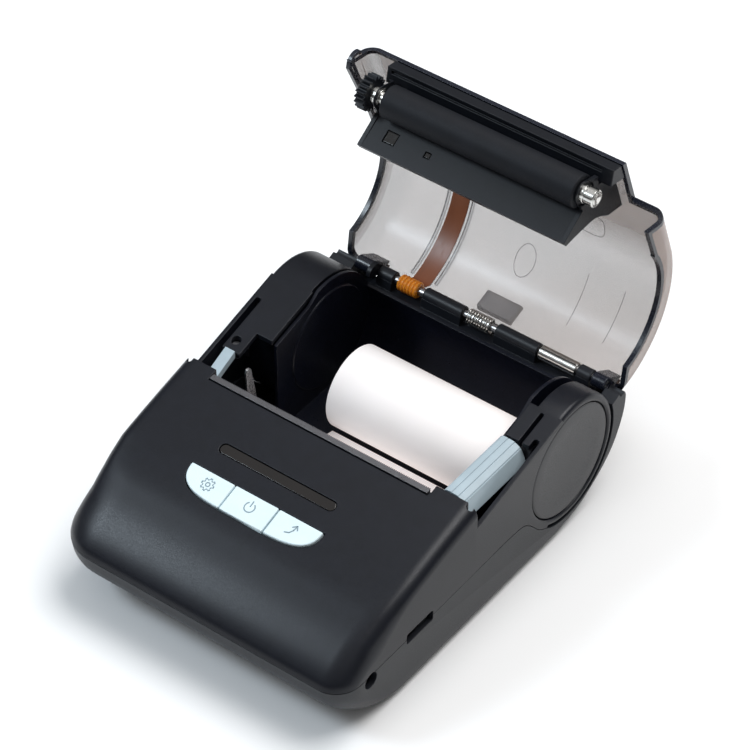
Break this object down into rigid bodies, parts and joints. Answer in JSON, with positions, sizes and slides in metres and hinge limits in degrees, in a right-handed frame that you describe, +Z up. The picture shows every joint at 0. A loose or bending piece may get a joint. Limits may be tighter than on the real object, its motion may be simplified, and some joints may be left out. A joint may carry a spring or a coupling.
{
  "type": "receipt printer",
  "caption": "Portable receipt printer with a swing-open smoked lid carrying the platen, a drop-in paper roll, tear bar, side release lever and soft-touch keys.",
  "frame": {"origin": "under the middle of the bounding box, with the lid open as stored, on the surface that the feet stand on", "axes": "+X to the printer's right, +Y to its rear (the hinge side), +Z up"},
  "size_m": [0.1246, 0.1938, 0.1283],
  "materials": {
    "case_plastic": "fine matte charcoal",
    "black_plastic": "satin black",
    "smoke_lid": "translucent smoke",
    "key_plastic": "pale ice blue",
    "lever_plastic": "light blue-grey",
    "steel": "bright",
    "dark_steel": "dark plated",
    "alloy": "satin",
    "rubber": "matte",
    "platen_rubber": "ground",
    "paper": "smooth thermal paper",
    "card": "matte",
    "board": "solder mask",
    "cell": "shrink wrap",
    "lens": "dark tinted",
    "flex": "amber film",
    "gear_plastic": "moulded black"
  },
  "bodies": {
    "case": {"base_shell": "case_plastic", "upper_shell": "case_plastic", "side_cap_right": "case_plastic", "side_cap_left": "case_plastic", "bay_tub": "black_plastic", "battery_door": "black_plastic", "cheek_screw": "dark_steel", "foot_1": "rubber", "foot_2": "rubber", "foot_3": "rubber", "foot_4": "rubber", "case_screw_1": "dark_steel", "case_screw_2": "dark_steel", "case_screw_3": "dark_steel", "case_screw_4": "dark_steel", "battery_pack": "cell", "main_board": "board", "usb_connector": "steel", "dc_jack": "black_plastic", "key_board": "board", "indicator_window": "lens", "head_frame": "dark_steel", "print_head": "black_plastic", "heat_sink": "alloy", "head_spring_left": "steel", "head_spring_right": "steel", "tear_bar": "steel", "tear_bar_holder": "black_plastic", "step_motor": "alloy", "gearbox_plate": "dark_steel", "hinge_shaft": "steel", "hinge_sleeve": "steel", "flex_coil": "flex", "hinge_bracket": "black_plastic", "paper_leader": "paper"},
    "lid": {"lid_shell": "smoke_lid", "lip_bar": "black_plastic", "platen_bracket": "black_plastic", "sensor_large": "lens", "sensor_small": "lens", "flex_strip": "flex", "torsion_spring": "steel", "bushing_left": "steel", "bushing_right": "steel"},
    "platen": {"platen_shaft": "steel", "platen_rubber": "platen_rubber", "platen_gear": "gear_plastic"},
    "latch": {"release_lever": "lever_plastic", "left_latch": "lever_plastic", "latch_shaft": "dark_steel"},
    "hooks": {"hook_left": "steel", "hook_right": "steel", "hook_shaft": "steel"},
    "settings_key": {"key_settings": "key_plastic"},
    "power_key": {"key_power": "key_plastic"},
    "feed_key": {"key_feed": "key_plastic"},
    "roll": {"paper_roll": "paper", "roll_core": "card"},
    "idler": {"idler_gear": "gear_plastic"},
    "pinion": {"motor_pinion": "gear_plastic"}
  },
  "joints": [
    {"name": "lid_hinge", "type": "hinge", "parent": "case", "child": "lid", "pos_m": [0, 0.06265, 0.042], "axis": [1, 0, 0], "range_deg": [0, 98]},
    {"name": "platen_spin", "type": "hinge", "parent": "lid", "child": "platen", "pos_m": [0, 0.06443, 0.12001], "axis": [1, 0, 0], "continuous": true},
    {"name": "latch_lift", "type": "hinge", "parent": "case", "child": "latch", "pos_m": [0, -0.02995, 0.044], "axis": [1, 0, 0], "range_deg": [0, 5], "stiffness_Nm_per_rad": 0.1, "springref_deg": -11.46},
    {"name": "hook_swing", "type": "hinge", "parent": "case", "child": "hooks", "pos_m": [0, -0.00695, 0.02], "axis": [1, 0, 0], "range_deg": [-5, 0]},
    {"name": "settings_press", "type": "slide", "parent": "case", "child": "settings_key", "axis": [0, 0.2917, -0.9565], "range_m": [0, 0.001], "stiffness_N_per_m": 300, "springref_m": -0.0005},
    {"name": "power_press", "type": "slide", "parent": "case", "child": "power_key", "axis": [0, 0.2917, -0.9565], "range_m": [0, 0.001], "stiffness_N_per_m": 300, "springref_m": -0.0005},
    {"name": "feed_press", "type": "slide", "parent": "case", "child": "feed_key", "axis": [0, 0.2917, -0.9565], "range_m": [0, 0.001], "stiffness_N_per_m": 300, "springref_m": -0.0005},
    {"name": "roll_spin", "type": "hinge", "parent": "case", "child": "roll", "pos_m": [0, 0.02405, 0.0247], "axis": [1, 0, 0], "continuous": true},
    {"name": "idler_spin", "type": "hinge", "parent": "case", "child": "idler", "pos_m": [0, -0.03255, 0.0305], "axis": [1, 0, 0], "continuous": true},
    {"name": "pinion_spin", "type": "hinge", "parent": "case", "child": "pinion", "pos_m": [0, -0.04555, 0.0305], "axis": [1, 0, 0], "continuous": true}
  ],
  "couplings": [
    {"joint": "hook_swing", "follows": "latch_lift", "ratio": -1},
    {"joint": "idler_spin", "follows": "pinion_spin", "ratio": -0.33333}
  ]
}
